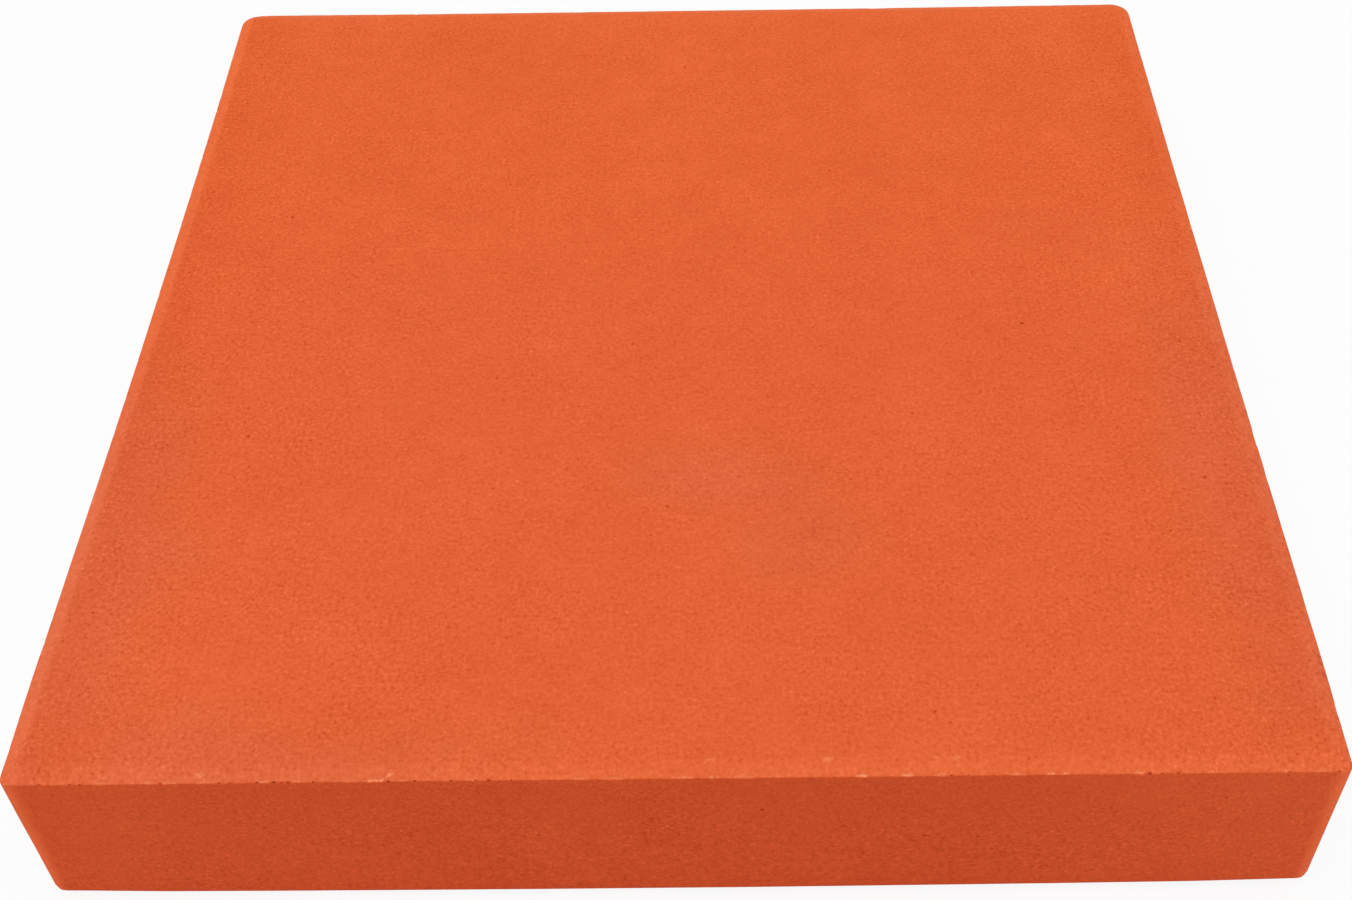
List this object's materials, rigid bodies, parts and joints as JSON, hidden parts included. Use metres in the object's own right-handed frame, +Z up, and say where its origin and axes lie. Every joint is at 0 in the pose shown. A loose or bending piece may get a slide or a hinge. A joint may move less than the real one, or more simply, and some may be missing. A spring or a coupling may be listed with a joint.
{
  "type": "terracotta floor tile",
  "caption": "Thick square terracotta paver, pressed and fired in one piece, with a shallow bevel round the wear face and rounded bed edges.",
  "frame": {"origin": "middle of the bed, the underside that lies on the floor", "axes": "+Z up out of the wear face, X and Y along the sides, the picture's near side at -Y"},
  "size_m": [0.298, 0.298, 0.052],
  "materials": {
    "terracotta": "unglazed matt orange-red fired clay with fine speckle and soft pinkish mottling"
  },
  "bodies": {
    "root": {"floor_tile": "terracotta"}
  },
  "joints": []
}
